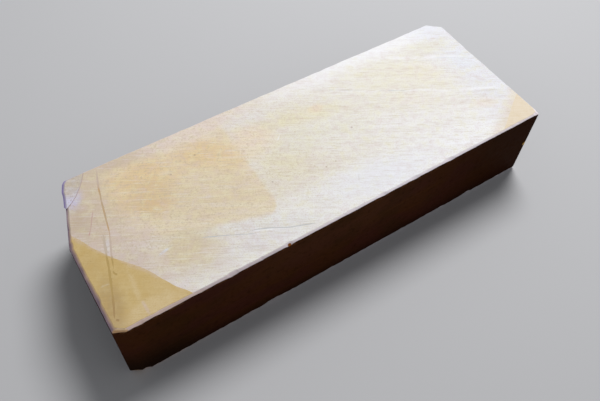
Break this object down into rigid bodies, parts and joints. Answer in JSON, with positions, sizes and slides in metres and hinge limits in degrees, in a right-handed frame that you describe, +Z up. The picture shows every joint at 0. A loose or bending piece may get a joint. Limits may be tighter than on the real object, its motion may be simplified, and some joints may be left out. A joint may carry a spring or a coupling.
{
  "type": "sharpening whetstone",
  "caption": "Rectangular block of pale natural stone with worn corners, a flat honing face on top and brown sealed sides, for sharpening edge tools.",
  "frame": {"origin": "middle of the base, on the surface that the stone lies on", "axes": "+X along the length to the right end, +Y to the far long side, +Z up to the honing face"},
  "size_m": [0.205, 0.074, 0.04],
  "materials": {
    "ochre_stone": "matte",
    "pale_stone": "matte",
    "fresh_stone": "matte",
    "brown_seam": "matte",
    "red_seam": "matte",
    "grey_seam": "matte",
    "lacquer": "satin"
  },
  "bodies": {
    "root": {"ochre_bed": "ochre_stone", "pale_bed": "pale_stone", "corner_flake": "fresh_stone", "long_seam": "brown_seam", "near_seam": "brown_seam", "short_seam": "red_seam", "hair_seam": "grey_seam", "side_seal": "lacquer"}
  },
  "joints": []
}
